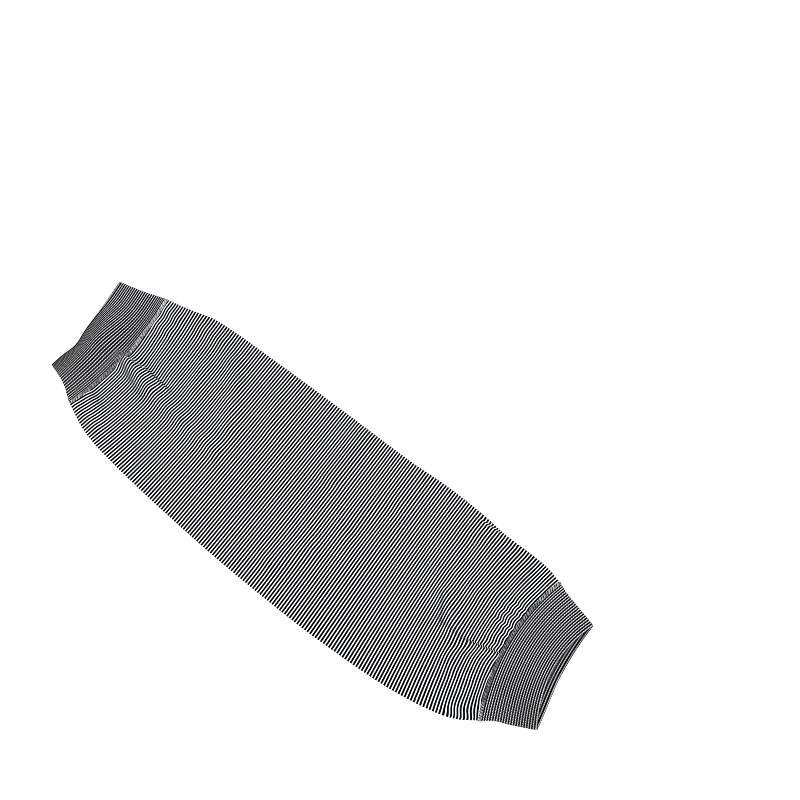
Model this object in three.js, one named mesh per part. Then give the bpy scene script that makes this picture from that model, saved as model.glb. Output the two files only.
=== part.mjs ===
// A knitted arm sleeve lying flat: a striped tube with a ribbed cuff sewn to each end.
// Millimetres, +X along the sleeve towards the upper arm, +Z up, resting on Z = 0.
import * as THREE from 'three';

// Driving dimensions
const BODY_WALL = 1.2;
const CUFF_WALL = 1.3;
const SEAM_GAP = 0.4;
const EDGE_HEIGHT = 2.6;
const CROWN_POWER = 2.6;
const FLAT_SHARE = 0.9;

// Colours and finish of the plain cloth
const KNIT_GREY = 0x8c8c8c;
const RIB_GREY = 0x5a5a5a;
const CLOTH_ROUGHNESS = 0.9;

// How finely the tubes are divided
const STEPS_AROUND = 36;
const BODY_STEPS = 36;
const CUFF_STEPS = 6;
const FOLD_FADE_STEPS = 2;

// Cross sections, one row each. A stripe of the knit bows through three points: the low side edge, the
// middle and the high side edge. height is that of the tube's outside above what it lies on.
const WRIST_SEAM = { xLow: -174.8, xMid: -165, xHigh: -165.4, yLow: -41, yHigh: 52, height: 10 };
const UPPER_SEAM = { xLow: 165.7, xMid: 149.5, xHigh: 153, yLow: -44, yHigh: 60.5, height: 11 };

// The body, by the number of the stripe that follows the section, from the wrist to the upper seam
const BODY_SECTIONS = [
  { at: 0, ...WRIST_SEAM },
  { at: 10, xLow: -158, xMid: -147.3, xHigh: -148.8, yLow: -49, yHigh: 56, height: 11 },
  { at: 20, xLow: -140, xMid: -130, xHigh: -130.2, yLow: -53.5, yHigh: 61, height: 12 },
  { at: 45, xLow: -90.5, xMid: -86.5, xHigh: -84, yLow: -59.5, yHigh: 63, height: 12.5 },
  { at: 75, xLow: -31.5, xMid: -29.5, xHigh: -28, yLow: -64, yHigh: 64, height: 12.5 },
  { at: 105, xLow: 30, xMid: 28.5, xHigh: 27.5, yLow: -66, yHigh: 64.5, height: 12.5 },
  { at: 120, xLow: 62.5, xMid: 58.5, xHigh: 57, yLow: -65.5, yHigh: 66, height: 12.5 },
  { at: 135, xLow: 95.5, xMid: 87.5, xHigh: 86, yLow: -64, yHigh: 65.5, height: 12.5 },
  { at: 145, xLow: 117.5, xMid: 106.5, xHigh: 106.5, yLow: -61.5, yHigh: 63.8, height: 12.5 },
  { at: 155, xLow: 140, xMid: 125.7, xHigh: 127.6, yLow: -57, yHigh: 64, height: 12.5 },
  { at: 162, xLow: 153.8, xMid: 138.4, xHigh: 141.2, yLow: -52, yHigh: 63.3, height: 12 },
  { at: 168, ...UPPER_SEAM },
];

// The cuffs, by the share of the way from the cuff's wrist side to its upper side
const WRIST_SECTIONS = [
  { at: 0, xLow: -200, xMid: -196, xHigh: -197, yLow: -27.5, yHigh: 42.5, height: 8 },
  { at: 0.5, xLow: -186.3, xMid: -181, xHigh: -181.7, yLow: -33, yHigh: 46.5, height: 9 },
  { at: 1, ...WRIST_SEAM },
];
const UPPER_SECTIONS = [
  { at: 0, ...UPPER_SEAM },
  { at: 0.25, xLow: 174, xMid: 158.3, xHigh: 161.6, yLow: -38, yHigh: 57.5, height: 10 },
  { at: 0.5, xLow: 182.8, xMid: 167.2, xHigh: 170.2, yLow: -34, yHigh: 55.5, height: 9.3 },
  { at: 1, xLow: 200, xMid: 185.3, xHigh: 187.5, yLow: -25.3, yHigh: 51.5, height: 8 },
];

// How far the upper cuff's under layer runs past its top layer at the middle of the free end
const UPPER_UNDER_REACH = 5.5;

// Raised folds of the body's top layer, one row each: a line that the fold follows, how far it spreads
// to each side and how far it lifts the cloth
const BODY_FOLDS = [
  { fromX: -160, fromY: 2, toX: -124, toY: -4, spread: 6, lift: 2.2 },
  { fromX: -124, fromY: -4, toX: -65, toY: -9, spread: 8, lift: 1.2 },
  { fromX: -168, fromY: -31, toX: -98, toY: -50, spread: 7, lift: 1.0 },
  { fromX: -108, fromY: 50, toX: -78, toY: 2, spread: 9, lift: 1.1 },
  { fromX: 27, fromY: 54, toX: -12, toY: -44, spread: 13, lift: 1.1 },
  { fromX: 95, fromY: 20, toX: 110, toY: -12, spread: 7, lift: 1.6 },
  { fromX: 122, fromY: -17, toX: 149, toY: -3, spread: 6, lift: 1.8 },
];

// Value of one column of a section table at any place between its rows, on a smooth curve
function readColumn(sections, column, at) {
  const last = sections.length - 1;
  let row = 0;
  while (row < last - 1 && at > sections[row + 1].at) {
    row += 1;
  }
  const slopeAt = (index) => {
    const before = sections[Math.max(index - 1, 0)];
    const after = sections[Math.min(index + 1, last)];
    return (after[column] - before[column]) / (after.at - before.at);
  };
  const start = sections[row];
  const end = sections[row + 1];
  const span = end.at - start.at;
  const t = (at - start.at) / span;
  const rise = t * t * (3 - 2 * t);
  return start[column] * (1 - rise) + end[column] * rise
    + span * (slopeAt(row) * t * (1 - t) * (1 - t) - slopeAt(row + 1) * t * t * (1 - t));
}

// The whole section at one place along a tube
function readSection(sections, at) {
  const section = {};
  for (const column of Object.keys(sections[0])) {
    section[column] = readColumn(sections, column, at);
  }
  return section;
}

// How far the folds lift the top layer at a point seen from above
function foldLift(folds, x, y) {
  const point = new THREE.Vector3(x, y, 0);
  const nearest = new THREE.Vector3();
  let lift = 0;
  for (const fold of folds) {
    const line = new THREE.Line3(
      new THREE.Vector3(fold.fromX, fold.fromY, 0),
      new THREE.Vector3(fold.toX, fold.toY, 0),
    );
    line.closestPointToPoint(point, true, nearest);
    const away = nearest.distanceTo(point) / fold.spread;
    lift += fold.lift * Math.exp(-away * away);
  }
  return lift;
}

// One point of a section. side runs from -1 at the low edge to 1 at the high edge, and inset is the
// wall's thickness for the inner surface or 0 for the outer one.
function sectionPoint(section, side, onTop, inset, folds) {
  const { xLow, xMid, xHigh, yLow, yHigh, height, underReach, foldShare } = section;
  const toEdge = Math.abs(side);
  const reach = onTop ? 0 : underReach * (1 - side * side);
  const bow = (xLow + xHigh) / 2 - xMid;
  const x = xMid + reach + ((xHigh - xLow) / 2) * side + bow * side * side;
  const y = (yLow + yHigh) / 2 + ((yHigh - yLow) / 2 - inset) * side;
  if (onTop) {
    const crown = Math.sqrt(1 - toEdge ** CROWN_POWER);
    const top = EDGE_HEIGHT + (height - inset - EDGE_HEIGHT) * crown;
    return new THREE.Vector3(x, y, top + foldLift(folds, x, y) * crown * foldShare);
  }
  const turn = Math.max(toEdge - FLAT_SHARE, 0) / (1 - FLAT_SHARE);
  const bottom = inset + (EDGE_HEIGHT - inset) * (1 - Math.sqrt(1 - turn * turn));
  return new THREE.Vector3(x, y, bottom);
}

// One closed ring of points round a section, from the high edge over the top to the low edge and back
function sectionRing(section, inset, folds) {
  const ring = [];
  for (let step = 0; step < STEPS_AROUND; step += 1) {
    const angle = (2 * Math.PI * step) / STEPS_AROUND;
    const onTop = step <= STEPS_AROUND / 2;
    ring.push(sectionPoint(section, THREE.MathUtils.clamp(Math.cos(angle), -1, 1), onTop, inset, folds));
  }
  return ring;
}

// Triangles between two neighbouring rings, given by the number of each ring's first point
function joinRings(triangles, first, second) {
  for (let step = 0; step < STEPS_AROUND; step += 1) {
    const next = (step + 1) % STEPS_AROUND;
    triangles.push(first + step, second + next, second + step);
    triangles.push(first + step, first + next, second + next);
  }
}

// A closed tube wall: rings along the outside, then back along the inside to the first ring
function tubeGeometry({ sections, steps, wall, folds = [], startGap = 0, endGap = 0, endUnderReach = 0 }) {
  const firstAt = sections[0].at;
  const lastAt = sections[sections.length - 1].at;
  const outside = [];
  const inside = [];
  for (let step = 0; step <= steps; step += 1) {
    const share = step / steps;
    const section = readSection(sections, THREE.MathUtils.lerp(firstAt, lastAt, share));
    const gap = THREE.MathUtils.lerp(startGap, -endGap, share);
    section.xLow += gap;
    section.xMid += gap;
    section.xHigh += gap;
    section.underReach = endUnderReach * share * share;
    section.foldShare = Math.min(1, Math.min(step, steps - step) / FOLD_FADE_STEPS);
    outside.push(sectionRing(section, 0, folds));
    inside.push(sectionRing(section, wall, folds));
  }
  const rings = [...outside, ...inside.reverse()];
  const triangles = [];
  for (let ring = 0; ring < rings.length; ring += 1) {
    joinRings(triangles, ring * STEPS_AROUND, ((ring + 1) % rings.length) * STEPS_AROUND);
  }
  const geometry = new THREE.BufferGeometry().setFromPoints(rings.flat());
  geometry.setIndex(triangles);
  geometry.computeVertexNormals();
  return geometry;
}

// A named piece of cloth
function clothPiece(name, geometry, color) {
  const material = new THREE.MeshStandardMaterial({ color, roughness: CLOTH_ROUGHNESS, metalness: 0 });
  const piece = new THREE.Mesh(geometry, material);
  piece.name = name;
  return piece;
}

const body = clothPiece('sleeve_body', tubeGeometry({
  sections: BODY_SECTIONS,
  steps: BODY_STEPS,
  wall: BODY_WALL,
  folds: BODY_FOLDS,
}), KNIT_GREY);

const wristCuff = clothPiece('wrist_cuff', tubeGeometry({
  sections: WRIST_SECTIONS,
  steps: CUFF_STEPS,
  wall: CUFF_WALL,
  endGap: SEAM_GAP,
}), RIB_GREY);

const upperCuff = clothPiece('upper_cuff', tubeGeometry({
  sections: UPPER_SECTIONS,
  steps: CUFF_STEPS,
  wall: CUFF_WALL,
  startGap: SEAM_GAP,
  endUnderReach: UPPER_UNDER_REACH,
}), RIB_GREY);

const sleeve = new THREE.Group();
sleeve.name = 'cooling_arm_sleeve';
sleeve.add(body, wristCuff, upperCuff);

export default sleeve;
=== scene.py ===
"""Knits a striped arm sleeve with ribbed cuffs round its packed construction, lit for a photograph."""
import math

import bpy
import numpy as np
from mathutils import Matrix


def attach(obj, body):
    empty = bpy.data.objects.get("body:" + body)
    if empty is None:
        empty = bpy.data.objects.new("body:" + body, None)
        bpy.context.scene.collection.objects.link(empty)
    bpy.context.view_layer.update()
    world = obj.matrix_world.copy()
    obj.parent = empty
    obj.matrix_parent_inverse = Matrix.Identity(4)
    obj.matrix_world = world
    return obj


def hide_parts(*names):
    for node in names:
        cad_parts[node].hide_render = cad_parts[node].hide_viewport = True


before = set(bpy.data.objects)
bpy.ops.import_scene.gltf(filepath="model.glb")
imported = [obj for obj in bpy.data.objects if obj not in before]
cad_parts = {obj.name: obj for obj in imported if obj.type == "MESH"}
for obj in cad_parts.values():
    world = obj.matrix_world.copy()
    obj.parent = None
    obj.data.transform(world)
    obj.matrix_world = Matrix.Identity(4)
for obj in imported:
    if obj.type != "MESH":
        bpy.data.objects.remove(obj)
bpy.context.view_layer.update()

bl_info = {
    "name": "Striped Arm Sleeve",
    "version": (1, 0, 0),
    "blender": (4, 5, 0),
    "location": "3D View > Sidebar > Sleeve",
    "description": "Knits a striped arm sleeve with ribbed cuffs, sews its seams and sets up a studio",
    "category": "Object",
}

ROOT_BODY = "root"
FLOOR = "studio_floor"
MM = 0.001

# The cloth's own maps, the shade painted on it and how far its stripes mat into a darker grey, which the
# finishes read
KNIT_MAP = "knit"
BAKE_MAP = "OFBake"
# painted shade: how dark each point of the cloth is painted as shade
PAINTED_SHADE = "painted_shade"
MATTED_SHADE = "matted_shade"

# Shape of a lying tube, in millimetres and shares, as in the construction
EDGE_HEIGHT = 2.6
CROWN_POWER = 2.6
FLAT_SHARE = 0.9
BODY_STRIPES = 168

# Cross sections in millimetres, one row each. A stripe of the knit bows through three points: the low side
# edge, the middle and the high side edge. The body's are placed by the number of the stripe there.
SECTION_COLUMNS = ("at", "x_low", "x_mid", "x_high", "y_low", "y_high", "height")
WRIST_SEAM = (-174.8, -165, -165.4, -41, 52, 10)
UPPER_SEAM = (165.7, 149.5, 153, -44, 60.5, 11)
BODY_SECTIONS = (
    (0, *WRIST_SEAM),
    (10, -158, -147.3, -148.8, -49, 56, 11),
    (20, -140, -130, -130.2, -53.5, 61, 12),
    (45, -90.5, -86.5, -84, -59.5, 63, 12.5),
    (75, -31.5, -29.5, -28, -64, 64, 12.5),
    (105, 30, 28.5, 27.5, -66, 64.5, 12.5),
    (120, 62.5, 58.5, 57, -65.5, 66, 12.5),
    (135, 95.5, 87.5, 86, -64, 65.5, 12.5),
    (145, 117.5, 106.5, 106.5, -61.5, 63.8, 12.5),
    (155, 140, 125.7, 127.6, -57, 64, 12.5),
    (162, 153.8, 138.4, 141.2, -52, 63.3, 12),
    (BODY_STRIPES, *UPPER_SEAM),
)

# The cuffs run from 0 at the seam to 1 at the free end
CUFF_MIDDLE = 0.5
WRIST_SECTIONS = (
    (0, *WRIST_SEAM),
    (CUFF_MIDDLE, -186.3, -181, -181.7, -33, 46.5, 9),
    (1, -199.5, -196, -197, -28.1, 42.5, 8),
)
UPPER_SECTIONS = (
    (0, *UPPER_SEAM),
    (0.25, 174, 158.3, 161.6, -38, 57.5, 10),
    (CUFF_MIDDLE, 182.8, 167, 170.2, -34.3, 55.5, 9.3),
    (1, 200, 184.2, 188, -26, 51.5, 8),
)

# Lines on the top layer, in millimetres, one row each: where a line runs from and to, how far it spreads to
# its left and its right, and the values that are full on it
LINE_COLUMNS = ("from_x", "from_y", "to_x", "to_y", "left", "right")

# Folds of the body: how far each drags the stripes along the sleeve, how far it lifts the cloth and how
# much shade is painted along it
FOLD_VALUES = ("drag", "lift", "painted_dark")
BODY_FOLDS = (
    # the sharp tuck at the wrist and the roll below it
    (-167, 6.2, -151, 7.6, 5, 0.25, 1.5, 0, 0),
    (-160, 8.4, -147, 8.6, 2.4, 2.4, 0, 0, 0.15),
    (-142.8, 7.7, -134, 6.6, 5, 0.25, 0.9, 0, 0),
    (-160, 5, -140, -1.5, 5.5, 5.5, -1.9, 1.6, 0),
    (-166, 6.1, -157, 6.9, 0.4, 0.5, 0, -0.8, 0.1),
    (-143, 7.4, -131, 6.2, 0.6, 0.7, 0, -0.7, 0.48),
    (-131, -3.8, -112, -5, 5.5, 5.5, -1, 0.9, 0),
    (-104, -7, -80, -8, 5, 5, -0.65, 0.7, 0),
    (-160, -1, -140, -8, 3, 3, 0, 0, 0.19),
    # soft waves of the wrist half
    (-138, 58, -132, -12, 36, 36, 0, 0, 0.065),
    (-163, 16, -152, 17, 8, 8, 0.8, 0, 0),
    (-166, -6, -168, -24, 11, 7, 1.6, -0.6, 0),
    (-172, -40, -152, -43, 5, 5, -0.6, 0.6, 0),
    (-168, -24, -160, -29, 3, 3, 0, 0, 0.26),
    (-160, -11, -158, -22, 4, 4, 0, 0, 0.07),
    (-152, -26, -128, -27, 9, 9, 0, 0, 0.05),
    (-165, 47, -153, 46, 4, 4, -0.6, 0.4, 0),
    (-163, 35, -152, 36, 4, 4, -0.6, 0.4, 0),
    (-136, 51, -120, 52, 5, 5, -0.5, 0.5, 0),
    (-119, 30, -116, 15, 5, 5, -0.5, 0.5, 0),
    (-106, 46, -95, 34, 6, 6, -0.6, 0.7, 0.08),
    (-92, 24, -83, 10, 7, 7, -0.65, 0.8, 0),
    (-68, 45, -60, 25, 7, 7, -0.35, 0.5, 0),
    # soft waves of the upper half
    (122, 52, 128, -40, 28, 28, 0, 0, 0.035),
    (-10, 60, -8, 25, 9, 9, -0.6, 0.7, 0.07),
    (8, -20, -9, -44, 8, 8, -0.5, 0.7, 0),
    (35, 30, 26, 5, 8, 8, 0.5, -0.6, 0),
    (92, 45, 98, 32, 11, 11, 0.6, -0.8, 0),
    (123, 30, 116, 22, 6, 6, -0.6, 0.5, 0),
    # the step and the tuck towards the upper seam
    (97, 9, 114, -6, 6, 5, -0.75, 0.9, 0),
    (97, 6, 106, -6.5, 1.2, 1.2, 0, -0.3, 0.4),
    (106, -6.5, 121, -7, 1.2, 1.2, 0, -0.3, 0.25),
    (125, -13, 129, -10.5, 4, 4, 0.6, 0.6, 0),
    (133, -4.9, 150, -0.5, 0.5, 6.5, 1.6, 1.2, 0),
    (129, -5.8, 146, -1.4, 0.6, 0.7, 0, -1, 0.5),
    (124, -23, 130, -27, 6, 6, -0.55, 0.5, 0),
    (146, -30, 146, -36, 5, 5, 0.45, -0.4, 0),
    (99, -15, 100, -22, 2.5, 2.5, 0, 0, 0.1),
    (150, -18, 157, -40, 5, 5, 0, 0, 0.1),
    (156, -20, 159, -30, 4, 4, -1.1, 0.5, 0),
    (149, -53, 161, -47, 5, 5, 1.7, 0, 0),
    # puckers gathered into the upper seam
    (140, 2, 150, 6, 2.5, 2.5, 0.6, -0.5, 0),
    (145, 12, 150, 12, 2, 2, 0.6, -0.4, 0),
    (137, 17.5, 149, 18, 1.8, 1.8, 0.8, -0.5, 0),
    (134, 21.5, 149, 22.5, 1.6, 1.6, -0.15, 0.6, 0),
    (136, 25, 148, 27, 1.6, 1.6, 0.45, -0.4, 0),
    (139, 32, 148, 32, 1.6, 1.6, 0.55, -0.4, 0),
    (136, 58, 142, 48, 7, 7, 0.45, 0, 0),
    # a nip in the upper half's high edge and the pull beside it
    (91.5, 62.7, 99, 63.3, 4, 0.4, 1, 0, 0),
    (106, 64, 126, 64.2, 3, 3, -0.45, 0, 0),
)

# How far a line fades past its ends, and a fold's drag past a side edge
LINE_FADE = 5.0
EDGE_FADE = 5.0

# Where the cloth turns from view and its stripes mat into a grey darker than their average, as painted shade
MATTED_SHADE_VALUES = ("matted_shade",)
MATTED_SHADE_LINES = (
    # the roll beside the wrist tuck
    (-165, 2.6, -154, -3.2, 1.6, 1.6, 0.42),
    (-154, -3.2, -148, -5, 1.4, 1.4, 0.2),
    (-168.5, 3, -171, -10, 2.2, 2.2, 0.4),
    # the step towards the upper seam
    (97, 6, 106, -6.5, 1, 1, 0.15),
    (106, -6.5, 127, -6.5, 1, 1, 0.1),
    # the low parts of the cuffs
    (-196, -22, -176, -27, 9, 9, 0.13),
    (172, -32, 196, -18, 9, 9, 0.08),
)

# The wrist seam steps along the sleeve where the tuck runs into it, in millimetres. The stripes there are
# carried along by a share of the step.
JOG_Y, JOG_BORDER = 6.6, 0.125
JOG_ABOVE, JOG_ABOVE_SPREAD = 1.3, 14.0
JOG_BELOW, JOG_BELOW_SPREAD = -2.0, 8.0
JOG_REACH = 6.0
JOG_CARRY = 0.3

# How finely the pieces are divided
BODY_ROWS = 250
BODY_INNER_ROWS = 50
BODY_TOP_COLUMNS = 236
BODY_UNDER_COLUMNS = 60
CUFF_ROWS = 44
CUFF_INNER_ROWS = 40
INNER_CROWDING = 1.5
LIP_ROWS = 8
COLUMNS_PER_RIB = 6
SEAM_TOP_STEPS = 190
SEAM_UNDER_STEPS = 66
EDGE_SIDES = 12
STITCH_SIDES = 6
RING_SAMPLES = 4001
STRIPE_SAMPLES = 800

# Where the body's columns crowd along the wrist tuck: its place between the side edges, the spread and how
# many more columns
TUCK_SIDE, TUCK_SPREAD, TUCK_CROWDING = 0.052, 0.035, 3.0

# How much of a piece's unfolded picture its hidden sides get
INSIDE_DETAIL = 0.35
UNDER_DETAIL = 0.6

# How the cloth and its stitches lie at the seams, in millimetres and shares
SEAM_HOLD = 4.0
DIP_SPREAD = 3.0
SEAM_TUCK, SEAM_TUCK_POWER = 0.45, 6
FLOOR_CLEARANCE = 0.03
STITCH_SLANT = 0.6
STITCH_CREST = 1.25

# What the two cuffs differ in. way is 1 where a cuff runs towards the upper arm and -1 where it runs towards
# the hand. A pair gives a value at the low and at the high side.
# The cuffs' darkening values, at the rolled end, over the upper part, beside the seam, on the low part, at
# the lips and in and along the mouth, are painted shade; lip_even is how far the painted shade at the lip
# comes and goes.
WRIST_CUFF = {
    "piece": "wrist_rib", "node": "wrist_cuff", "rows": WRIST_SECTIONS, "way": -1, "flat": (0.168, 0.036),
    "roll_drop": 1.6, "roll_dark": 0.58, "notch": 2.2, "seam_crowd": 0.6, "end_crowd": 2.0,
    "seam_shade": (0.08, 0.2), "shade": 0.06, "low_dark": 0.18, "top_lip": (1.0, 1.0), "under_lip": (1.0, 1.0),
    "lip_even": 1.0, "mouth_dark": 0.0, "gap_shade": 0.0,
}
UPPER_CUFF = {
    "piece": "upper_rib", "node": "upper_cuff", "rows": UPPER_SECTIONS, "way": 1, "flat": (0.196, 0.04),
    "roll_drop": 0.0, "roll_dark": 0.0, "notch": 0.0, "seam_crowd": 0.2, "end_crowd": 0.0,
    "seam_shade": (0.0, 0.0), "shade": 0.0, "low_dark": 0.32, "top_lip": (0.15, 0.5), "under_lip": (0.6, 1.0),
    "lip_even": 0.35, "mouth_dark": 0.42, "gap_shade": 0.45,
}

# Shape of a cuff: the free end that rolls under on its low half, a notch in it, the under layer that shows
# and the stripes that crowd at the seam
ROLL_FROM, ROLL_OVER, ROLL_REACH = 0.75, 1.0, 0.24
NOTCH_Y, NOTCH_SPREAD, NOTCH_POWER = -8.0, 9.0, 4
REACH_POWER, REACH_POWER_LOW = 2.0, 2.8
SEAM_CROWD_REACH = 0.14

# Shade painted on a cuff, in millimetres and shares: beside its seam, on its upper and its low part, at its
# lip and in the mouth under the lip, and a darker grey painted along the mouth as shade
SEAM_SHADE_REACH = 6.0
UPPER_PART_FROM, UPPER_PART_OVER = -0.3, 0.5
LOW_Y, LOW_SPREAD = -24.0, 18.0
LIP_Y, LIP_BORDER, LIP_REACH = 13.0, 6.0, 1.3
# Length of the wave in which the painted shade at a lip and in the mouth comes and goes
LIP_WAVE = 4.7
MOUTH_Y, MOUTH_BORDER, MOUTH_REACH = 1.0, 14.0, 1.2
GAP_SHADE_Y, GAP_SHADE_SPREAD = 17.0, 22.0
GAP_SHADE_PAST, GAP_SHADE_REACH = 0.6, 1.2

# The two seams. Their colours change across the sleeve, each from a given millimetre on.
WRIST_SEWING = {
    "piece": "wrist_seam", "rows": WRIST_SECTIONS, "shift": 0.4, "stepped": True,
    "edge": (
        (-99, (0.42, 0.42, 0.43)),
        (-30, (0.24, 0.24, 0.25)),
        (9, (0.4, 0.4, 0.41)),
        (44, (0.6, 0.6, 0.61)),
    ),
    "thread": (
        (-99, (0.09, 0.09, 0.095)),
        (9, (0.18, 0.18, 0.185)),
    ),
}
UPPER_SEWING = {
    "piece": "upper_seam", "rows": UPPER_SECTIONS, "shift": 0.0, "stepped": False,
    "edge": (
        (-99, (0.4, 0.4, 0.41)),
        (-33, (0.2, 0.2, 0.22)),
        (0, (0.25, 0.25, 0.26)),
        (43, (0.38, 0.38, 0.39)),
    ),
    "thread": (
        (-99, (0.015, 0.015, 0.017)),
        (-33, (0.035, 0.035, 0.04)),
        (0, (0.012, 0.012, 0.014)),
        (43, (0.02, 0.02, 0.022)),
    ),
}

# What the two knits differ in: how far a loop sways a stripe's border, how much light the valleys between
# wales lose as painted shade, how far the wales stand out and the grey of matted stripes, darker than
# their average as painted shade
JERSEY = {"sway": 0.14, "valley": 0.06, "relief": 0.35, "matted_shade": 0.12}
RIB = {"sway": 0.08, "valley": 0.5, "relief": 1.0, "matted_shade": 0.22}

# Finish of the knit: noise for each metre, shares of a pair of stripes, of the light and of the relief
NOISE_DETAIL = 2.0
KNIT_FUZZ, KNIT_DRIFT = 900.0, 60.0
LOOP_MIDDLE, FUZZ_SWAY, YARN_BORDER = 0.25, 0.08, 0.08
# How far painted shade thins the white stripes and dims the yarn
PAINTED_SHADE_THINS, PAINTED_SHADE_DIMS = 0.4, 0.6
FUZZ_LIGHT, DRIFT_LIGHT = 0.16, 0.1
STRIPE_RELIEF, FUZZ_RELIEF = 0.5, 0.2
KNIT_BUMP, KNIT_BUMP_DEPTH = 0.35, 0.00015
KNIT_ROUGH, KNIT_ROUGH_SPREAD = 0.82, 0.12
KNIT_GLOSS = 0.005

# Finish of the seams
THREAD_FUZZ, THREAD_TWIST, TWIST_DISTORTION = 800.0, 420.0, 2.0
THREAD_SHADOW, ZONE_BORDER = 0.3, 3.0
FLECK_EDGE, FLECK_BORDER = 0.5, 0.15
TWIST_LIGHT, THREAD_FUZZ_RELIEF = 0.25, 0.5
THREAD_BUMP, THREAD_BUMP_DEPTH = 0.4, 0.0001
THREAD_ROUGH, THREAD_ROUGH_SPREAD = 0.75, 0.15
THREAD_GLOSS = 0.05

# Finish of the floor
MOTTLE, MOTTLE_DETAIL, MOTTLE_DIMS = 6.0, 3.0, 0.015
FLOOR_ROUGH, FLOOR_ROUGH_SPREAD = 0.85, 0.1
FLOOR_GLOSS = 0.1

# The picture: how far the camera sees in metres, its tone curve and how many pixels a point of light spreads
CAMERA_SIGHT = 100.0
PICTURE_GAMMA = 0.9
PIXEL_SPREAD = 0.8


def bell(distance, spread):
    """1 at no distance, falling smoothly to 0."""
    return np.exp(-((distance / spread) ** 2))


def between(ends, share):
    """A value that runs from the first end to the second by a share."""
    return ends[0] + (ends[1] - ends[0]) * share


def read_column(sections, name, at):
    """One column of a section table at any place between its rows, on a smooth curve."""
    places, values = sections["at"], sections[name]
    last = len(places) - 1
    before = np.maximum(np.arange(last + 1) - 1, 0)
    after = np.minimum(np.arange(last + 1) + 1, last)
    slopes = (values[after] - values[before]) / (places[after] - places[before])
    row = np.clip(np.searchsorted(places, at, side="right") - 1, 0, last - 1)
    span = places[row + 1] - places[row]
    t = (at - places[row]) / span
    rise = t * t * (3 - 2 * t)
    bend = slopes[row] * t * (1 - t) ** 2 - slopes[row + 1] * t * t * (1 - t)
    return values[row] * (1 - rise) + values[row + 1] * rise + span * bend


def read_sections(rows, at):
    """The cross sections at the given places along a tube, each value a column of numbers."""
    sections = {name: np.array(values, float) for name, values in zip(SECTION_COLUMNS, zip(*rows))}
    places = np.atleast_1d(np.asarray(at, float))
    return {name: read_column(sections, name, places)[:, None] for name in SECTION_COLUMNS}


def across(section, side):
    """How far along the sleeve a stripe lies, from its low edge at side -1 to its high edge at side 1."""
    bow = (section["x_low"] + section["x_high"]) / 2 - section["x_mid"]
    return section["x_mid"] + (section["x_high"] - section["x_low"]) / 2 * side + bow * side**2


def tube_wall(section, side, on_top, inset):
    """Place across and height of a lying tube's wall, and its crown: 1 in the middle of the top, 0 below."""
    to_edge = np.abs(side)
    middle = (section["y_low"] + section["y_high"]) / 2
    y = middle + ((section["y_high"] - section["y_low"]) / 2 - inset) * side
    crown = np.sqrt(np.clip(1 - to_edge**CROWN_POWER, 0, 1))
    top = EDGE_HEIGHT + (section["height"] - inset - EDGE_HEIGHT) * crown
    turn = np.clip(to_edge - FLAT_SHARE, 0, None) / (1 - FLAT_SHARE)
    under = inset + (EDGE_HEIGHT - inset) * (1 - np.sqrt(np.clip(1 - turn**2, 0, 1)))
    return y, np.where(on_top, top, under), np.where(on_top, crown, 0)


class Ring:
    """The columns round a lying tube: over its top from the high edge to the low one, then back underneath.
    They are evenly spread, or crowded along the tuck."""

    def __init__(self, rows, at, top_count, under_count, crowding=0.0):
        section = {name: values[0] for name, values in read_sections(rows, at).items()}
        fine = np.cos(np.linspace(0, math.pi, RING_SAMPLES))
        sides, arcs, lengths = [], [], []
        for on_top, count in ((True, top_count), (False, under_count)):
            walk = fine if on_top else fine[::-1]
            y, z, _ = tube_wall(section, walk, on_top, 0.0)
            step = np.hypot(np.diff(y), np.diff(z))
            near = bell((walk[1:] + walk[:-1]) / 2 - TUCK_SIDE, TUCK_SPREAD)
            crowded = np.concatenate([[0], np.cumsum(step * (1 + crowding * near * on_top))])
            arc = np.concatenate([[0], np.cumsum(step)])
            places = np.arange(count) / count * crowded[-1]
            sides.append(np.interp(places, crowded, walk))
            arcs.append(np.interp(places, crowded, arc) + sum(lengths))
            lengths.append(arc[-1])
        self.side = np.concatenate(sides)
        self.on_top = np.arange(top_count + under_count) < top_count
        self.share = np.append(np.concatenate(arcs), sum(lengths)) / sum(lengths)

    def bake_weights(self):
        """How much of the unfolded picture each column gets."""
        return np.diff(self.share) * np.where(self.on_top, 1.0, UNDER_DETAIL)


def near_line(line, x, y):
    """1 on a line seen from above, falling off to its left, to its right and past its ends."""
    run_x, run_y = line["to_x"] - line["from_x"], line["to_y"] - line["from_y"]
    length = math.hypot(run_x, run_y)
    dx, dy = x - line["from_x"], y - line["from_y"]
    along = (dx * run_x + dy * run_y) / length
    aside = (dy * run_x - dx * run_y) / length
    past = np.maximum(np.maximum(-along, along - length), 0)
    return bell(aside, np.where(aside > 0, line["left"], line["right"])) * bell(past, LINE_FADE)


def sum_lines(rows, values, x, y):
    """What a table of lines adds up to at points seen from above, a grid for each of its values."""
    sums = {name: np.zeros_like(x) for name in values}
    for row in rows:
        line = dict(zip(LINE_COLUMNS + values, row))
        near = near_line(line, x, y)
        for name in values:
            sums[name] += line[name] * near
    return sums


def matted_shading(x, y):
    """How far the stripes mat together into a darker grey, painted shade, at points seen from above."""
    return np.clip(sum_lines(MATTED_SHADE_LINES, MATTED_SHADE_VALUES, x, y)["matted_shade"], 0, 1)


def wrist_jog(y, from_seam, on_top):
    """How far the top layer steps along the sleeve at the wrist seam, above and below the tuck."""
    above = 1 / (1 + np.exp(-(y - JOG_Y) / JOG_BORDER))
    step = above * JOG_ABOVE * bell(y - JOG_Y, JOG_ABOVE_SPREAD)
    step = step + (1 - above) * JOG_BELOW * bell(y - JOG_Y, JOG_BELOW_SPREAD)
    return np.where(on_top, step * bell(from_seam, JOG_REACH), 0)


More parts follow.
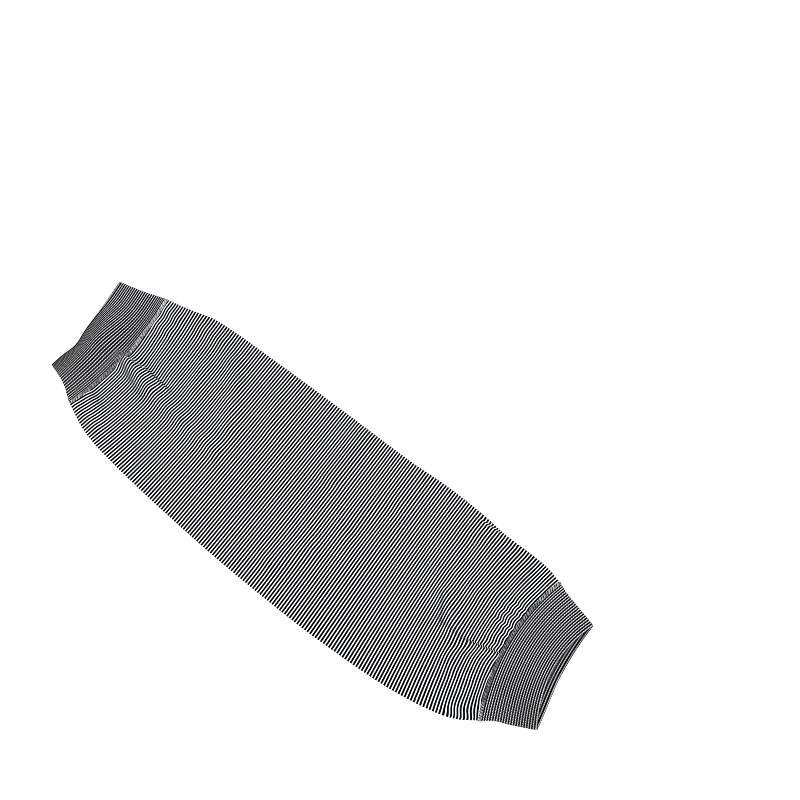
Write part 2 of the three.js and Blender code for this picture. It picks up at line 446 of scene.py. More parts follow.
def wall_object(name, points, stripe, wale, shades, bake_along, bake_around, way):
    """A closed cloth wall from a grid of points in millimetres, which joins up both round the tube and from
    the inside back to the outside. stripe and wale are its knit map, one row and one column longer than the
    points, shades are named grids of the shade painted at each point and of how far its stripes mat into a
    darker grey, the bake weights share out its unfolded picture, and way is 1 where the outside runs towards
    the upper arm and -1 where it runs towards the hand."""
    rows, columns = points.shape[:2]
    i, j = (a.ravel() for a in np.meshgrid(np.arange(rows), np.arange(columns), indexing="ij"))
    corners = [(i, j), (i, j + 1), (i + 1, j + 1), (i + 1, j)][::way]
    loops = np.stack([(r % rows) * columns + c % columns for r, c in corners], axis=1)
    mesh = bpy.data.meshes.new(name)
    mesh.vertices.add(rows * columns)
    mesh.vertices.foreach_set("co", (points * MM).astype(np.float32).ravel())
    mesh.loops.add(loops.size)
    mesh.loops.foreach_set("vertex_index", loops.ravel().astype(np.int32))
    mesh.polygons.add(len(loops))
    mesh.polygons.foreach_set("loop_start", np.arange(0, loops.size, len(corners), dtype=np.int32))
    mesh.polygons.foreach_set("use_smooth", np.ones(len(loops), bool))
    along, around = (np.concatenate([[0], np.cumsum(w)]) / np.sum(w) for w in (bake_along, bake_around))
    maps = {
        KNIT_MAP: [(stripe[r, c], wale[c]) for r, c in corners],
        BAKE_MAP: [(along[r], around[c]) for r, c in corners],
    }
    for map_name, places in maps.items():
        layer = mesh.uv_layers.new(name=map_name)
        flat = np.stack([np.stack(p, axis=1) for p in places], axis=1).astype(np.float32)
        layer.uv.foreach_set("vector", flat.ravel())
    for shade_name, values in shades.items():
        shade = mesh.attributes.new(shade_name, "FLOAT", "POINT")
        shade.data.foreach_set("value", values.astype(np.float32).ravel())
    mesh.update(calc_edges=True)
    mesh.validate()
    piece = bpy.data.objects.new(name, mesh)
    bpy.context.scene.collection.objects.link(piece)
    return piece


def lengthened(values):
    """A grid with its last row and its first column repeated, so that the closing faces have a map too."""
    values = np.concatenate([values, values[-1:]], axis=0)
    return np.concatenate([values, values[:, :1]], axis=1)


class CuffGrid:
    """The grid of points of one cuff, in millimetres: out from its seam, round its lip and back inside."""

    def __init__(self, cuff, settings, ribs, under_reach, dip):
        rows, way = cuff["rows"], cuff["way"]
        wall = settings.wall / MM
        self.cuff = cuff
        self.length = abs(rows[-1][2] - rows[0][2])
        bulge = self.lay_rows(wall)
        ring = Ring(rows, CUFF_MIDDLE, ribs * COLUMNS_PER_RIB, ribs * COLUMNS_PER_RIB)
        self.ring = ring
        self.wale = ring.share * 2 * ribs
        valley = 0.5 - 0.5 * np.cos(math.tau * self.wale[:-1])
        inset = settings.rib_relief / MM * valley * (1 - self.inner) + wall * self.inner
        section = read_sections(rows, self.at[:, 0])
        self.y, z, crown = tube_wall(section, ring.side, ring.on_top, inset)
        self.x = across(section, ring.side) + np.zeros_like(self.y)
        self.from_seam = np.abs(self.x - across(read_sections(rows, 0), ring.side))
        low_half = np.clip((ROLL_FROM - ring.side) / ROLL_OVER, 0, 1)
        self.low_half = low_half**2 * (3 - 2 * low_half)
        self.roll = self.low_half * bell(1 - self.at, ROLL_REACH)
        power = np.where(ring.side < 0, REACH_POWER_LOW, REACH_POWER)
        self.reach = np.where(ring.on_top, 0, under_reach * self.at * (1 - np.abs(ring.side) ** power))
        self.jog = wrist_jog(self.y, self.from_seam, ring.on_top) if way < 0 else np.zeros_like(self.y)
        notch = cuff["notch"] * bell(self.y - NOTCH_Y, NOTCH_SPREAD) * self.at**NOTCH_POWER
        gap = way * settings.seam_gap / MM * (1 - self.at)
        z = z - (dip * bell(self.from_seam, DIP_SPREAD) + cuff["roll_drop"] * self.roll) * crown
        x = self.x + way * (bulge - notch) + gap + self.reach + self.jog
        self.points = np.stack([x, self.y, z], axis=2)

    def lay_rows(self, wall):
        """Places the rows: at is the share of the cuff's length, unrolled runs on from 0 at the seam past 1
        at the lip, and inner is 0 outside and 1 inside. Gives how far the rounded lip bulges."""
        lip = 1 - wall / 2 / self.length
        turn = np.linspace(0, math.pi, LIP_ROWS + 2)[1:-1]
        turned = 1 - np.cos(turn)
        outside = np.linspace(0, lip, CUFF_ROWS)
        inside = lip * (1 - np.linspace(0, 1, CUFF_INNER_ROWS) ** INNER_CROWDING)
        self.at = np.concatenate([outside, np.full(LIP_ROWS, lip), inside])[:, None]
        self.unrolled = np.concatenate([outside, lip + (1 - lip) * turned, 2 - inside])[:, None]
        self.inner = np.repeat([0.0, 1.0], [CUFF_ROWS + LIP_ROWS, CUFF_INNER_ROWS])[:, None]
        self.inner[CUFF_ROWS:-CUFF_INNER_ROWS, 0] = turned / 2
        bulge = np.zeros_like(self.at)
        bulge[CUFF_ROWS:-CUFF_INNER_ROWS, 0] = np.sin(turn) * wall / 2
        return bulge

    def stripes(self, count):
        """The number of the stripe at each point. Stripes crowd at the seam and under a rolled free end."""
        cuff = self.cuff
        fine = np.linspace(0, 1, STRIPE_SAMPLES + 1)[:, None]
        crowded = 1 + cuff["seam_crowd"] * bell(fine, SEAM_CROWD_REACH)
        crowded = crowded + cuff["end_crowd"] * self.low_half * bell(1 - fine, ROLL_REACH)
        counted = np.cumsum(crowded, axis=0) - crowded[:1]
        counted = counted / counted[-1] * count
        folded = np.where(self.unrolled > 1, 2 - self.unrolled, self.unrolled)[:, 0]
        nearest = np.clip(np.rint(folded * STRIPE_SAMPLES).astype(int), 0, STRIPE_SAMPLES)
        stripe = np.where(self.unrolled > 1, 2 * count - counted[nearest], counted[nearest])
        return stripe + self.jog * (1 - JOG_CARRY) * (1 - self.inner) * cuff["way"] * count / self.length

    def shades(self):
        """How much shade is painted at each point, and how far its stripes mat into a grey painted darker.
        """
        cuff, ring, y = self.cuff, self.ring, self.y
        in_sight = ring.on_top * (1 - self.inner)
        upper_part = np.clip((ring.side - UPPER_PART_FROM) / UPPER_PART_OVER, 0, 1)
        above_lip = np.clip((y - LIP_Y) / LIP_BORDER + 0.5, 0, 1)
        above_mouth = np.clip((y - MOUTH_Y) / MOUTH_BORDER + 0.5, 0, 1)
        uneven = between((cuff["lip_even"], 1), 0.5 + 0.5 * np.cos(math.tau * y / LIP_WAVE))
        past_top = self.x + self.reach - across(read_sections(cuff["rows"], 1), ring.side)

        # painted shade beside the seam, over the upper part, on the low part and on the rolled end
        seam_shade = between(cuff["seam_shade"], upper_part) * bell(self.from_seam, SEAM_SHADE_REACH)
        low = cuff["low_dark"] * np.sqrt(self.at) * bell(np.maximum(y - LOW_Y, 0), LOW_SPREAD)
        cloth = (cuff["shade"] * upper_part + cuff["roll_dark"] * self.roll + seam_shade + low) * in_sight
        # painted shade at the lips and in the mouth's gap under the top lip
        top_lip = between(cuff["top_lip"], above_mouth) * uneven
        under_lip = between(cuff["under_lip"], above_lip)
        lip = np.where(ring.on_top, top_lip, under_lip) * bell((1 - self.at) * self.length, LIP_REACH)
        mouth = cuff["mouth_dark"] * bell(np.maximum(past_top, 0), MOUTH_REACH) * above_mouth * uneven
        mouth = mouth * ~ring.on_top * self.inner
        painted_shade = np.maximum(np.maximum(cloth, lip), mouth)

        # a darker grey painted along the mouth as its shade
        gap_shade = cuff["gap_shade"] * bell(y - GAP_SHADE_Y, GAP_SHADE_SPREAD)
        gap_shade = gap_shade * bell(past_top - GAP_SHADE_PAST, GAP_SHADE_REACH)
        gap_shade = gap_shade * np.where(ring.on_top, 1 - self.inner, self.inner)
        matted_shade = matted_shading(self.x, y) * in_sight + gap_shade
        return {PAINTED_SHADE: np.clip(painted_shade, 0, 1), MATTED_SHADE: np.clip(matted_shade, 0, 1)}


class Value:
    """A number, colour or vector in a material's node tree. Sums of values add Math nodes."""

    def __init__(self, tree, socket):
        self.tree = tree
        self.socket = socket

    def node(self, kind, settings=None, inputs=None, output=0):
        """Adds a node, sets it up, feeds its sockets and gives one of its outputs."""
        made = self.tree.nodes.new(kind)
        for setting, value in (settings or {}).items():
            setattr(made, setting, value)
        feed(made, inputs or {})
        return Value(self.tree, made.outputs[output])

    def maths(self, operation, *values, clamp=False):
        """A Math node on this value and others."""
        inputs = dict(enumerate((self, *values)))
        return self.node("ShaderNodeMath", {"operation": operation, "use_clamp": clamp}, inputs)

    def __add__(self, other):
        return self.maths("ADD", other)

    def __radd__(self, other):
        return self.maths("ADD", other)

    def __sub__(self, other):
        return self.maths("SUBTRACT", other)

    def __rsub__(self, other):
        return (self * -1).maths("ADD", other)

    def __mul__(self, other):
        return self.maths("MULTIPLY", other)

    def __rmul__(self, other):
        return self.maths("MULTIPLY", other)

    def __truediv__(self, other):
        return self.maths("DIVIDE", other)

    def __rtruediv__(self, other):
        return self.maths("POWER", -1.0) * other

    def __abs__(self):
        return self.maths("ABSOLUTE")

    def fraction(self):
        """What is left past the last whole number."""
        return self.maths("FRACT")

    def wave(self, turns=1):
        """A cosine wave from 0 to 1, with its crests at whole numbers divided by turns."""
        return (self * (math.tau * turns)).maths("COSINE") * 0.5 + 0.5

    def step(self, edge, softness):
        """0 below an edge and 1 above it, over a soft border."""
        return ((self - edge) / softness).maths("ADD", 0.5, clamp=True)

    def vary(self, amount):
        """Values round 1 that differ by an amount, for one that runs from 0 to 1."""
        return self * amount + (1 - amount / 2)

    def blend(self, low, high):
        """A colour between two others, by this value."""
        inputs = {"Factor": self, 6: low, 7: high}
        return self.node("ShaderNodeMix", {"data_type": "RGBA"}, inputs, output=2)

    def part(self, axis):
        """One part of a vector: 0, 1 or 2."""
        return self.node("ShaderNodeSeparateXYZ", None, {0: self}, output=axis)

    def noise(self, scale, detail=NOISE_DETAIL):
        """Soft noise from 0 to 1 at this place."""
        return self.node("ShaderNodeTexNoise", None, {"Vector": self, "Scale": scale, "Detail": detail})

    def bump(self, strength, depth):
        """A normal that takes this value for a height."""
        inputs = {"Strength": strength, "Distance": depth, "Height": self}
        return self.node("ShaderNodeBump", None, inputs)


def feed(node, inputs):
    """Sets a node's sockets to plain numbers or links values to them."""
    for key, value in inputs.items():
        if isinstance(value, Value):
            value.tree.links.new(value.socket, node.inputs[key])
        else:
            node.inputs[key].default_value = value


def opaque(colour):
    """A colour with its alpha."""
    return (*colour, 1.0)


def dimmed(colour, share):
    """A share of a colour's light, with its alpha."""
    return opaque(tuple(c * share for c in colour))


def new_finish(name):
    """A new material, its shader and a value to start expressions from."""
    material = bpy.data.materials.new(name)
    material.use_nodes = True
    shader = material.node_tree.nodes["Principled BSDF"]
    return material, shader, Value(material.node_tree, shader.outputs[0])


def knit_finish(name, settings, kind):
    """Knitted stripes of white and black yarn with loops, uneven yarn, painted shade, matted places in a
    darker grey and valleys between the wales painted darker as shade, which are deep on a rib."""
    material, shader, start = new_finish(name)
    place = start.node("ShaderNodeUVMap", {"uv_map": KNIT_MAP})
    stripe, wale = place.part(0), place.part(1)
    painted_shade = start.node("ShaderNodeAttribute", {"attribute_name": PAINTED_SHADE}, output="Fac")
    matted_shade = start.node("ShaderNodeAttribute", {"attribute_name": MATTED_SHADE}, output="Fac")
    where = start.node("ShaderNodeTexCoord", output="Object")
    fuzz = where.noise(KNIT_FUZZ)
    drift = where.noise(KNIT_DRIFT)

    loop = abs(wale.fraction() - 0.5)
    wander = stripe + (loop - LOOP_MIDDLE) * kind["sway"] + (fuzz - 0.5) * FUZZ_SWAY
    to_white = abs(wander.fraction() - 0.5)
    # painted shade thins the white stripes here and dims the yarn below
    yarn = 1 - to_white.step((1 - painted_shade * PAINTED_SHADE_THINS) * (settings.white_share / 2), YARN_BORDER)
    # matted stripes turn into a grey darker than their average, painted shade
    yarn = yarn * (1 - matted_shade) + matted_shade * kind["matted_shade"]
    # the valleys between wales are painted darker, as shade
    rib = wale.wave()
    shade = rib * kind["valley"] + (1 - kind["valley"])
    light = yarn * shade * fuzz.vary(FUZZ_LIGHT) * drift.vary(DRIFT_LIGHT) * (1 - painted_shade * PAINTED_SHADE_DIMS)
    relief = rib * kind["relief"] + stripe.wave(2) * STRIPE_RELIEF + fuzz * FUZZ_RELIEF
    feed(shader, {
        "Base Color": light.blend(opaque(settings.black), opaque(settings.white)),
        "Roughness": fuzz * KNIT_ROUGH_SPREAD + KNIT_ROUGH,
        "Normal": relief.bump(KNIT_BUMP, KNIT_BUMP_DEPTH),
        "Specular IOR Level": KNIT_GLOSS,
    })
    return material


def thread_finish(name, zones):
    """Overlocked edge or sewing thread, in short slanted strokes of its colour and of a painted shadow of
    it. zones are places across the sleeve in millimetres, each with the colour that starts there."""
    material, shader, start = new_finish(name)
    where = start.node("ShaderNodeTexCoord", output="Object")
    y = where.part(1)
    fuzz = where.noise(THREAD_FUZZ)
    wave = {"Vector": where, "Scale": THREAD_TWIST, "Distortion": TWIST_DISTORTION}
    twist = start.node("ShaderNodeTexWave", {"bands_direction": "DIAGONAL"}, wave)
    (_, first), *others = zones
    pale, painted_dark = opaque(first), dimmed(first, THREAD_SHADOW)
    for place, colour in others:
        beyond = y.step(place * MM, ZONE_BORDER * MM)
        pale = beyond.blend(pale, opaque(colour))
        painted_dark = beyond.blend(painted_dark, dimmed(colour, THREAD_SHADOW))
    light = fuzz.step(FLECK_EDGE, FLECK_BORDER) * (1 - TWIST_LIGHT) + twist * TWIST_LIGHT
    relief = twist + fuzz * THREAD_FUZZ_RELIEF
    feed(shader, {
        "Base Color": light.blend(painted_dark, pale),
        "Roughness": fuzz * THREAD_ROUGH_SPREAD + THREAD_ROUGH,
        "Normal": relief.bump(THREAD_BUMP, THREAD_BUMP_DEPTH),
        "Specular IOR Level": THREAD_GLOSS,
    })
    return material


def floor_finish(colour):
    """Pale seamless paper with the faintest mottle."""
    material, shader, start = new_finish("pale_floor")
    mottle = start.node("ShaderNodeTexCoord", output="Object").noise(MOTTLE, MOTTLE_DETAIL)
    feed(shader, {
        "Base Color": mottle.blend(dimmed(colour, 1 - MOTTLE_DIMS), opaque(colour)),
        "Roughness": mottle * FLOOR_ROUGH_SPREAD + FLOOR_ROUGH,
        "Specular IOR Level": FLOOR_GLOSS,
    })
    return material


class SLEEVE_PG_knit(bpy.types.PropertyGroup):
    """Sizes and colours of the striped knit"""

    wall: bpy.props.FloatProperty(
        name="Body wall", description="Thickness of the knitted body",
        default=0.0012, unit="LENGTH")
    white: bpy.props.FloatVectorProperty(
        name="White yarn", description="Colour of the white stripes",
        default=(0.645, 0.66, 0.68), subtype="COLOR")
    black: bpy.props.FloatVectorProperty(
        name="Black yarn", description="Colour of the black stripes",
        default=(0.001, 0.001, 0.0012), subtype="COLOR")
    white_share: bpy.props.FloatProperty(
        name="White share", description="Share of a pair of stripes that is white",
        default=0.366, subtype="FACTOR")
    wales: bpy.props.IntProperty(
        name="Wales", description="Columns of loops round the body",
        default=380)
    seam_dip: bpy.props.FloatProperty(
        name="Seam dip", description="How far the cloth sinks into its seams",
        default=0.0014, unit="LENGTH")


class SLEEVE_PG_cuffs(bpy.types.PropertyGroup):
    """Sizes and colours of the ribbed cuffs"""

    wall: bpy.props.FloatProperty(
        name="Cuff wall", description="Thickness of the ribbed cuffs",
        default=0.0013, unit="LENGTH")
    rib_relief: bpy.props.FloatProperty(
        name="Rib relief", description="Depth of the valleys between ribs",
        default=0.00045, unit="LENGTH")
    wrist_ribs: bpy.props.IntProperty(
        name="Wrist ribs", description="Ribs across one layer of the wrist cuff",
        default=59)
    upper_ribs: bpy.props.IntProperty(
        name="Upper ribs", description="Ribs across one layer of the upper cuff",
        default=58)
    wrist_stripes: bpy.props.IntProperty(
        name="Wrist stripes", description="Pairs of stripes along the wrist cuff",
        default=24)
    upper_stripes: bpy.props.IntProperty(
        name="Upper stripes", description="Pairs of stripes along the upper cuff",
        default=22)
    white: bpy.props.FloatVectorProperty(
        name="White yarn", description="Colour of the cuffs' white stripes",
        default=(0.617, 0.617, 0.638), subtype="COLOR")
    black: bpy.props.FloatVectorProperty(
        name="Black yarn", description="Colour of the cuffs' black stripes",
        default=(0.001, 0.001, 0.0013), subtype="COLOR")
    white_share: bpy.props.FloatProperty(
        name="White share", description="Share of a pair of stripes that is white",
        default=0.35, subtype="FACTOR")
    under_reach: bpy.props.FloatProperty(
        name="Under reach", description="How far the upper cuff's under layer shows past its top layer",
        default=0.0068, unit="LENGTH")
    seam_gap: bpy.props.FloatProperty(
        name="Seam gap", description="Room between a cuff's edge and the body's under the stitches",
        default=0.0004, unit="LENGTH")


class SLEEVE_PG_seams(bpy.types.PropertyGroup):
    """Sizes of the sewn seams"""

    band_width: bpy.props.FloatProperty(
        name="Band width", description="Width of the overlocked edge that shows",
        default=0.0028, unit="LENGTH")
    band_height: bpy.props.FloatProperty(
        name="Band height", description="Height of the overlocked edge",
        default=0.001, unit="LENGTH")
    stitch_pitch: bpy.props.FloatProperty(
        name="Stitch pitch", description="Distance between stitches along a seam",
        default=0.002, unit="LENGTH")
    thread: bpy.props.FloatProperty(
        name="Thread", description="Diameter of the sewing thread",
        default=0.0006, unit="LENGTH")


class SLEEVE_PG_studio(bpy.types.PropertyGroup):
    """The floor, the light and the camera"""

    frame_width: bpy.props.FloatProperty(
        name="Frame width", description="Width of floor that the picture shows",
        default=0.5259, unit="LENGTH")
    look_at: bpy.props.FloatVectorProperty(
        name="Look at", description="Point in the middle of the picture",
        default=(-0.0032, 0.0923, 0.003), subtype="TRANSLATION")
    turn: bpy.props.FloatProperty(
        name="Turn", description="How far the picture's right side is turned from the sleeve's length",
        default=math.radians(37.29), subtype="ANGLE")
    camera_height: bpy.props.FloatProperty(
        name="Camera height", description="Height of the camera above the sleeve",
        default=6.0, unit="LENGTH")
    floor_size: bpy.props.FloatProperty(
        name="Floor size", description="Side of the floor",
        default=8.0, unit="LENGTH")
    floor: bpy.props.FloatVectorProperty(
        name="Floor", description="Colour of the floor",
        default=(0.92, 0.92, 0.92), subtype="COLOR")
    sky: bpy.props.FloatProperty(
        name="Sky", description="Strength of the even light from all round",
        default=1.7)
    sky_colour: bpy.props.FloatVectorProperty(
        name="Sky colour", description="Colour of the even light from all round",
        default=(1.0, 1.0, 1.0), subtype="COLOR")
    key: bpy.props.FloatProperty(
        name="Key light", description="Power of the large soft lamp",
        default=10.0, unit="POWER")
    key_size: bpy.props.FloatProperty(
        name="Key size", description="Side of the large soft lamp",
        default=1.6, unit="LENGTH")
    key_place: bpy.props.FloatVectorProperty(
        name="Key place", description="Where the large soft lamp hangs",
        default=(-0.9, -1.0, 2.4), subtype="TRANSLATION")
    key_tilt: bpy.props.FloatVectorProperty(
        name="Key tilt", description="How the large soft lamp is turned towards the sleeve",
        default=(math.radians(22), math.radians(-20), 0), subtype="EULER")


def dress(piece, materials, node):
    """Gives a piece its finishes and ties it to the construction."""
    for material in materials:
        piece.data.materials.append(material)
    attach(piece, ROOT_BODY)
    if node:
        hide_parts(node)


class SLEEVE_OT_knit_body(bpy.types.Operator):
    """Knit the sleeve's striped body"""

    bl_idname = "sleeve.knit_body"
    bl_label = "Knit Body"

    def execute(self, context):
        knit = context.scene.sleeve_knit
        wall, dip = knit.wall / MM, knit.seam_dip / MM
        ring = Ring(BODY_SECTIONS, BODY_STRIPES / 2, BODY_TOP_COLUMNS, BODY_UNDER_COLUMNS, TUCK_CROWDING)
        at = np.concatenate([
            np.linspace(0, BODY_STRIPES, BODY_ROWS),
            np.linspace(BODY_STRIPES, 0, BODY_INNER_ROWS),
        ])[:, None]
        outer = (np.arange(BODY_ROWS + BODY_INNER_ROWS) < BODY_ROWS)[:, None]
        section = read_sections(BODY_SECTIONS, at[:, 0])
        y, z, crown = tube_wall(section, ring.side, ring.on_top, np.where(outer, 0, wall))
        x = across(section, ring.side) + np.zeros_like(y)
        from_wrist, from_upper = (
            np.abs(x - across(read_sections(BODY_SECTIONS, seam), ring.side)) for seam in (0, BODY_STRIPES))
        folds = sum_lines(BODY_FOLDS, FOLD_VALUES, x, y)
        to_seam = np.minimum(from_wrist, from_upper)
        held = 1 - bell(to_seam, SEAM_HOLD)
        z = z + (folds["lift"] * held - dip * bell(to_seam, DIP_SPREAD)) * crown
        jog = wrist_jog(y, from_wrist, ring.on_top)
        points = np.stack([x + jog, y, z], axis=2)

        pitch = np.gradient(x[:BODY_ROWS], at[:BODY_ROWS, 0], axis=0)
        pitch = np.concatenate([pitch, np.ones((BODY_INNER_ROWS, len(ring.side)))])
        half_width = (section["y_high"] - section["y_low"]) / 2
        seen = np.where(ring.on_top, 1.0, bell((1 - np.abs(ring.side)) * half_width, EDGE_FADE)) * outer
        stripe = at - (folds["drag"] * seen - jog * (1 - JOG_CARRY) * outer) / pitch
        in_sight = outer * ring.on_top
        # painted shade along the folds, and the darker grey of matted stripes
        shades = {PAINTED_SHADE: np.clip(folds["painted_dark"], 0, 1) * in_sight, MATTED_SHADE: matted_shading(x, y) * in_sight}
        weights_along = np.where(outer[:, 0], 1.0, INSIDE_DETAIL * BODY_ROWS / BODY_INNER_ROWS)
        piece = wall_object("body_knit", points, lengthened(stripe), ring.share * knit.wales, shades,
                            weights_along, ring.bake_weights(), 1)
        dress(piece, [knit_finish("striped_jersey", knit, JERSEY)], "sleeve_body")
        return {"FINISHED"}


class SLEEVE_OT_knit_cuffs(bpy.types.Operator):
    """Knit the ribbed cuffs"""

    bl_idname = "sleeve.knit_cuffs"
    bl_label = "Knit Cuffs"

    def execute(self, context):
        cuffs = context.scene.sleeve_cuffs
        finish = knit_finish("striped_rib", cuffs, RIB)
        self.knit(context, finish, WRIST_CUFF, cuffs.wrist_ribs, cuffs.wrist_stripes, 0.0)
        self.knit(context, finish, UPPER_CUFF, cuffs.upper_ribs, cuffs.upper_stripes, cuffs.under_reach / MM)
        return {"FINISHED"}

    def knit(self, context, finish, cuff, ribs, stripes, under_reach):
        """One cuff, whose under layer may reach past its top layer."""
        dip = context.scene.sleeve_knit.seam_dip / MM
        grid = CuffGrid(cuff, context.scene.sleeve_cuffs, ribs, under_reach, dip)
        weights_along = np.repeat([1.0, INSIDE_DETAIL * CUFF_ROWS / CUFF_INNER_ROWS],
                                  [CUFF_ROWS + LIP_ROWS, CUFF_INNER_ROWS])
        piece = wall_object(cuff["piece"], grid.points, lengthened(grid.stripes(stripes)), grid.wale,
                            grid.shades(), weights_along, grid.ring.bake_weights(), cuff["way"])
        dress(piece, [finish], cuff["node"])


class SLEEVE_OT_sew_seams(bpy.types.Operator):
    """Sew the cuffs to the body"""

    bl_idname = "sleeve.sew_seams"
    bl_label = "Sew Seams"

    def execute(self, context):
        self.sew(context, WRIST_SEWING)
        self.sew(context, UPPER_SEWING)
        return {"FINISHED"}

    def sew(self, context, sewing):
        """One seam: a rounded edge right round the sleeve and slanted stitches over it."""
        seams = context.scene.sleeve_seams
        name, rows = sewing["piece"], sewing["rows"]
        dip = context.scene.sleeve_knit.seam_dip / MM
        ring = Ring(rows, 0.0, SEAM_TOP_STEPS, SEAM_UNDER_STEPS)
        section = read_sections(rows, 0)
        tucked = SEAM_TUCK * np.abs(ring.side) ** SEAM_TUCK_POWER
        y, z, crown = tube_wall(section, ring.side, ring.on_top, tucked)
        x = across(section, ring.side) + sewing["shift"] + np.zeros_like(y)
        if sewing["stepped"]:
            x = x + wrist_jog(y, 0.0, ring.on_top)
        path = np.stack([x[0], y[0], (z - dip * crown)[0]], axis=1) * MM
        ahead = np.roll(path, -1, axis=0) - np.roll(path, 1, axis=0)
        ahead /= np.linalg.norm(ahead, axis=1, keepdims=True)
        out = np.cross(ahead, (1.0, 0.0, 0.0))
        out /= np.linalg.norm(out, axis=1, keepdims=True)
        over = np.cross(out, ahead)

        edge = self.shape_edge(context, path, over, out)
        edge.name = name
        edge.data.materials.append(thread_finish(name + "_edge", sewing["edge"]))
        stitch = self.shape_stitch(context)
        stitch.data.materials.append(thread_finish(name + "_thread", sewing["thread"]))
        steps = np.linalg.norm(np.diff(path, axis=0, append=path[:1]), axis=1)
        walked = np.concatenate([[0], np.cumsum(steps)])
        count = round(walked[-1] / seams.stitch_pitch)
        bpy.ops.object.select_all(action="DESELECT")
        for k in range(count):
            spot = np.searchsorted(walked, (k + 0.5) / count * walked[-1]) % len(path)
            slant = over[spot] + ahead[spot] * STITCH_SLANT
            slant /= np.linalg.norm(slant)
            sewn = bpy.data.objects.new(stitch.name, stitch.data.copy())
            placed = np.eye(4)
            placed[:3, :] = np.stack([slant, np.cross(out[spot], slant), out[spot], path[spot]], axis=1)
            sewn.matrix_world = Matrix(placed.tolist())
            context.scene.collection.objects.link(sewn)
            sewn.select_set(True)
        bpy.data.objects.remove(stitch)
        edge.select_set(True)
        context.view_layer.objects.active = edge
        bpy.ops.object.join()
        bpy.ops.object.shade_smooth()
        for vertex in edge.data.vertices:
            vertex.co.z = max(vertex.co.z, FLOOR_CLEARANCE * MM)
        dress(edge, [], None)

    def shape_edge(self, context, path, over, out):
        """The overlocked edge: a ring whose round section is flattened and led along a path."""
        seams = context.scene.sleeve_seams
        bpy.ops.object.select_all(action="DESELECT")
        bpy.ops.mesh.primitive_torus_add(
            major_segments=len(path), minor_segments=EDGE_SIDES, generate_uvs=False)
        edge = context.object
        turns = np.linspace(0, math.tau, EDGE_SIDES, endpoint=False)[None, :, None]
        sideways = over[:, None] * np.cos(turns) * seams.band_width / 2
        upwards = out[:, None] * np.sin(turns) * seams.band_height / 2
        places = path[:, None] + sideways + upwards
        edge.data.vertices.foreach_set("co", places.astype(np.float32).ravel())
        edge.data.update()
        bpy.ops.object.mode_set(mode="EDIT")
        bpy.ops.mesh.select_all(action="SELECT")
        bpy.ops.mesh.normals_make_consistent(inside=False)
        bpy.ops.mesh.select_all(action="DESELECT")
        bpy.ops.object.mode_set(mode="OBJECT")
        return edge

    def shape_stitch(self, context):
        """One stitch that lies along X, bent over a rounded edge."""
        seams = context.scene.sleeve_seams
        bpy.ops.object.select_all(action="DESELECT")
        bpy.ops.mesh.primitive_cylinder_add(
            vertices=STITCH_SIDES, radius=seams.thread / 2, depth=seams.band_width,
            rotation=(0, math.pi / 2, 0), calc_uvs=False)
        stitch = context.object
        stitch.name = "stitch"
        bpy.ops.object.transform_apply(location=True, rotation=True, scale=True)
        bpy.ops.object.mode_set(mode="EDIT")
        bpy.ops.mesh.select_all(action="SELECT")
        bpy.ops.mesh.bisect(plane_co=(0, 0, 0), plane_no=(1, 0, 0))
        bpy.ops.mesh.select_all(action="DESELECT")
        bpy.ops.object.mode_set(mode="OBJECT")
        for vertex in stitch.data.vertices:
            share = vertex.co.x / (seams.band_width / 2)
            vertex.co.z += seams.band_height / 2 * (STITCH_CREST - share**2)
        return stitch


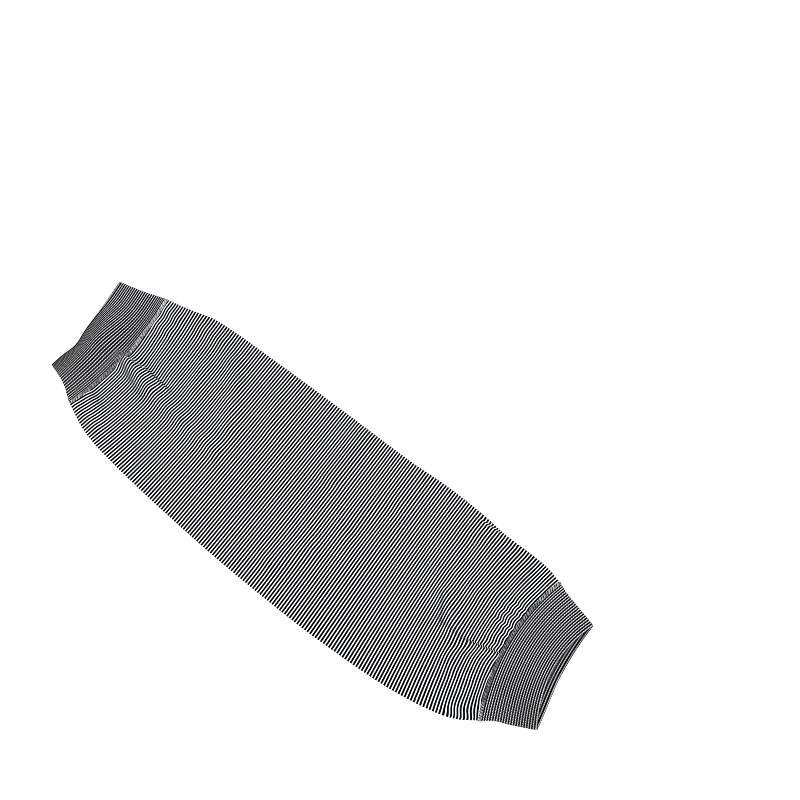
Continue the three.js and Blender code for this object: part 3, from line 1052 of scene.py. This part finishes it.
class SLEEVE_OT_set_studio(bpy.types.Operator):
    """Lay the floor, light it and place the camera"""

    bl_idname = "sleeve.set_studio"
    bl_label = "Set Studio"

    def execute(self, context):
        studio = context.scene.sleeve_studio
        bpy.ops.object.select_all(action="DESELECT")
        bpy.ops.mesh.primitive_plane_add(size=studio.floor_size)
        floor = context.object
        floor.name = FLOOR
        floor.data.materials.append(floor_finish(studio.floor))

        world = bpy.data.worlds.new("even_sky")
        world.use_nodes = True
        background = world.node_tree.nodes["Background"]
        feed(background, {"Color": opaque(studio.sky_colour), "Strength": studio.sky})
        context.scene.world = world

        bpy.ops.object.light_add(type="AREA", location=studio.key_place)
        lamp = context.object
        lamp.name = "soft_key"
        lamp.data.size = studio.key_size
        lamp.data.energy = studio.key
        lamp.rotation_euler = studio.key_tilt

        centre = studio.look_at
        bpy.ops.object.camera_add(
            location=(centre[0], centre[1], centre[2] + studio.camera_height), rotation=(0, 0, studio.turn))
        camera = context.object
        camera.name = "overhead_camera"
        camera.data.lens = camera.data.sensor_width * studio.camera_height / studio.frame_width
        camera.data.clip_end = CAMERA_SIGHT
        context.scene.camera = camera
        context.scene.view_settings.view_transform = "Standard"
        context.scene.view_settings.gamma = PICTURE_GAMMA
        context.scene.cycles.filter_width = PIXEL_SPREAD
        return {"FINISHED"}


class SLEEVE_PT_panel(bpy.types.Panel):
    """Lists the sleeve's steps and sizes"""

    bl_idname = "SLEEVE_PT_panel"
    bl_label = "Arm Sleeve"
    bl_space_type = "VIEW_3D"
    bl_region_type = "UI"
    bl_category = "Sleeve"

    def draw(self, context):
        layout = self.layout
        for step, group in STEPS:
            box = layout.box()
            box.operator(step.bl_idname)
            settings = getattr(context.scene, group)
            for name in settings.__annotations__:
                box.prop(settings, name)


GROUPS = {
    "sleeve_knit": SLEEVE_PG_knit,
    "sleeve_cuffs": SLEEVE_PG_cuffs,
    "sleeve_seams": SLEEVE_PG_seams,
    "sleeve_studio": SLEEVE_PG_studio,
}
STEPS = (
    (SLEEVE_OT_knit_body, "sleeve_knit"),
    (SLEEVE_OT_knit_cuffs, "sleeve_cuffs"),
    (SLEEVE_OT_sew_seams, "sleeve_seams"),
    (SLEEVE_OT_set_studio, "sleeve_studio"),
)


def register():
    for name, group in GROUPS.items():
        bpy.utils.register_class(group)
        setattr(bpy.types.Scene, name, bpy.props.PointerProperty(type=group))
    for step, _ in STEPS:
        bpy.utils.register_class(step)
    bpy.utils.register_class(SLEEVE_PT_panel)


def unregister():
    bpy.utils.unregister_class(SLEEVE_PT_panel)
    for step, _ in reversed(STEPS):
        bpy.utils.unregister_class(step)
    for name, group in reversed(GROUPS.items()):
        delattr(bpy.types.Scene, name)
        bpy.utils.unregister_class(group)


def main():
    register()
    bpy.ops.sleeve.knit_body()
    bpy.ops.sleeve.knit_cuffs()
    bpy.ops.sleeve.sew_seams()
    bpy.ops.sleeve.set_studio()


if __name__ == "__main__":
    main()
